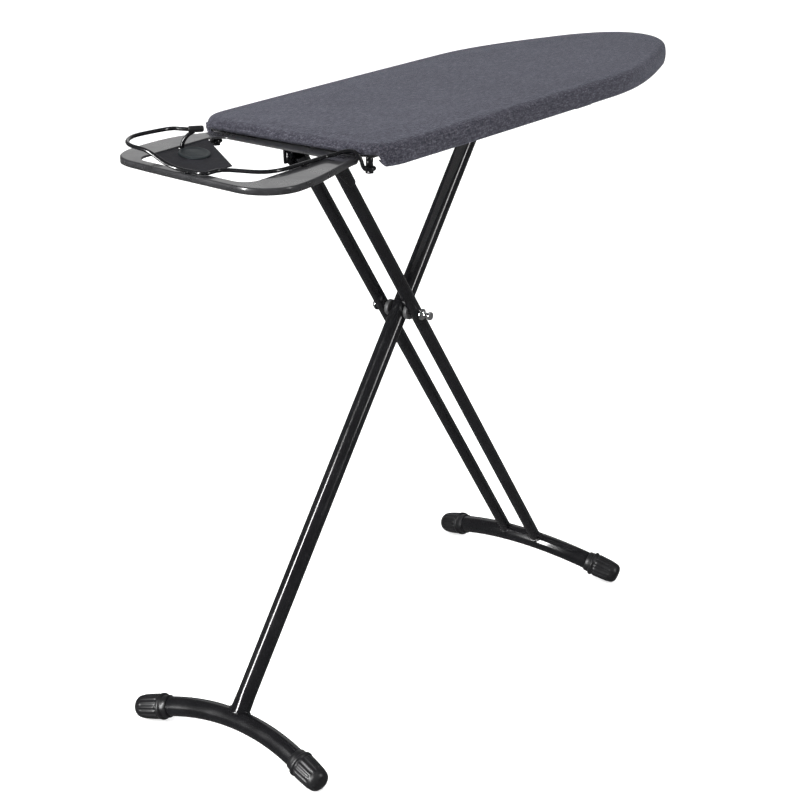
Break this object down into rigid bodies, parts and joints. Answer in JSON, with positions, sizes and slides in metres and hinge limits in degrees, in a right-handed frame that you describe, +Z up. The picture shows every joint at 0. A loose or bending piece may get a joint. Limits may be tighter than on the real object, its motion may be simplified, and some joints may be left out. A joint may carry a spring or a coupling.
{
  "type": "ironing board",
  "caption": "Folding ironing board with a padded fabric cover, a pressed steel iron rest with a wire guard, and a scissor leg frame on arched feet with rubber caps.",
  "frame": {"origin": "on the floor below the leg pivot bolt, in the board's middle plane", "axes": "+X towards the nose of the board, +Y towards its left side seen from the iron rest, +Z up"},
  "size_m": [1.1895, 0.3734, 0.9066],
  "materials": {
    "cover_fabric": "matt charcoal melange cotton weave",
    "felt": "needled felt",
    "black_paint": "gloss black enamel on steel",
    "deck_steel": "grey coated perforated steel",
    "zinc": "zinc plated",
    "chrome": "bright chrome",
    "black_rubber": "ribbed black rubber",
    "matte_panel": "matt dark grey heat-proof coat",
    "silicone_pad": "satin silicone",
    "nylon": "black nylon",
    "black_plastic": "satin black plastic"
  },
  "bodies": {
    "board": {"cover": "cover_fabric", "deck": "deck_steel", "deck_rim": "deck_steel", "front_brace": "black_paint", "guard_bolt_left": "zinc", "guard_bolt_right": "zinc", "guard_sleeve": "black_rubber", "guard_strut": "black_paint", "guard_wire": "black_paint", "heel_pad": "silicone_pad", "heel_panel": "matte_panel", "hinge_bracket_left": "black_paint", "hinge_bracket_right": "black_paint", "hinge_pin_left": "zinc", "hinge_pin_right": "zinc", "lever_pin": "zinc", "lever_spring": "zinc", "middle_brace": "black_paint", "pad": "felt", "rail_left": "black_paint", "rail_right": "black_paint", "rear_brace": "black_paint", "rest_plate": "black_paint", "rest_rivet_left_1": "zinc", "rest_rivet_left_2": "zinc", "rest_rivet_right_1": "zinc", "rest_rivet_right_2": "zinc", "rest_strap_left": "black_paint", "rest_strap_right": "black_paint"},
    "outer_leg": {"outer_tube_left": "black_paint", "outer_tube_right": "black_paint", "leg_lug_left": "black_paint", "leg_lug_right": "black_paint", "rear_foot_bar": "black_paint", "rear_cap_left": "black_rubber", "rear_cap_right": "black_rubber", "pivot_bolt": "chrome", "pivot_nut": "chrome", "pivot_washer_left": "chrome", "pivot_washer_right": "chrome", "pivot_spacer_left": "nylon", "pivot_spacer_right": "nylon"},
    "inner_leg": {"inner_tube": "black_paint", "inner_tube_plug": "black_rubber", "slider_rod": "zinc", "slider_glide_left": "nylon", "slider_glide_right": "nylon", "front_foot_bar": "black_paint", "front_cap_left": "black_rubber", "front_cap_right": "black_rubber"},
    "lock": {"lock_lever": "black_paint", "lever_handle": "black_paint", "lever_grip": "black_plastic"}
  },
  "joints": [
    {"name": "outer_leg_fold", "type": "hinge", "parent": "board", "child": "outer_leg", "pos_m": [-0.2, 0, 0.8431], "axis": [0, -1, 0], "range_deg": [0, 51.5]},
    {"name": "inner_leg_fold", "type": "hinge", "parent": "outer_leg", "child": "inner_leg", "pos_m": [0, 0, 0.5715], "axis": [0, -1, 0], "range_deg": [-103, 0]},
    {"name": "lever_lift", "type": "hinge", "parent": "board", "child": "lock", "pos_m": [0.53, 0, 0.8591], "axis": [0, 1, 0], "range_deg": [-1.4, 0]}
  ],
  "couplings": [
    {"joint": "inner_leg_fold", "follows": "outer_leg_fold", "ratio": -2}
  ]
}
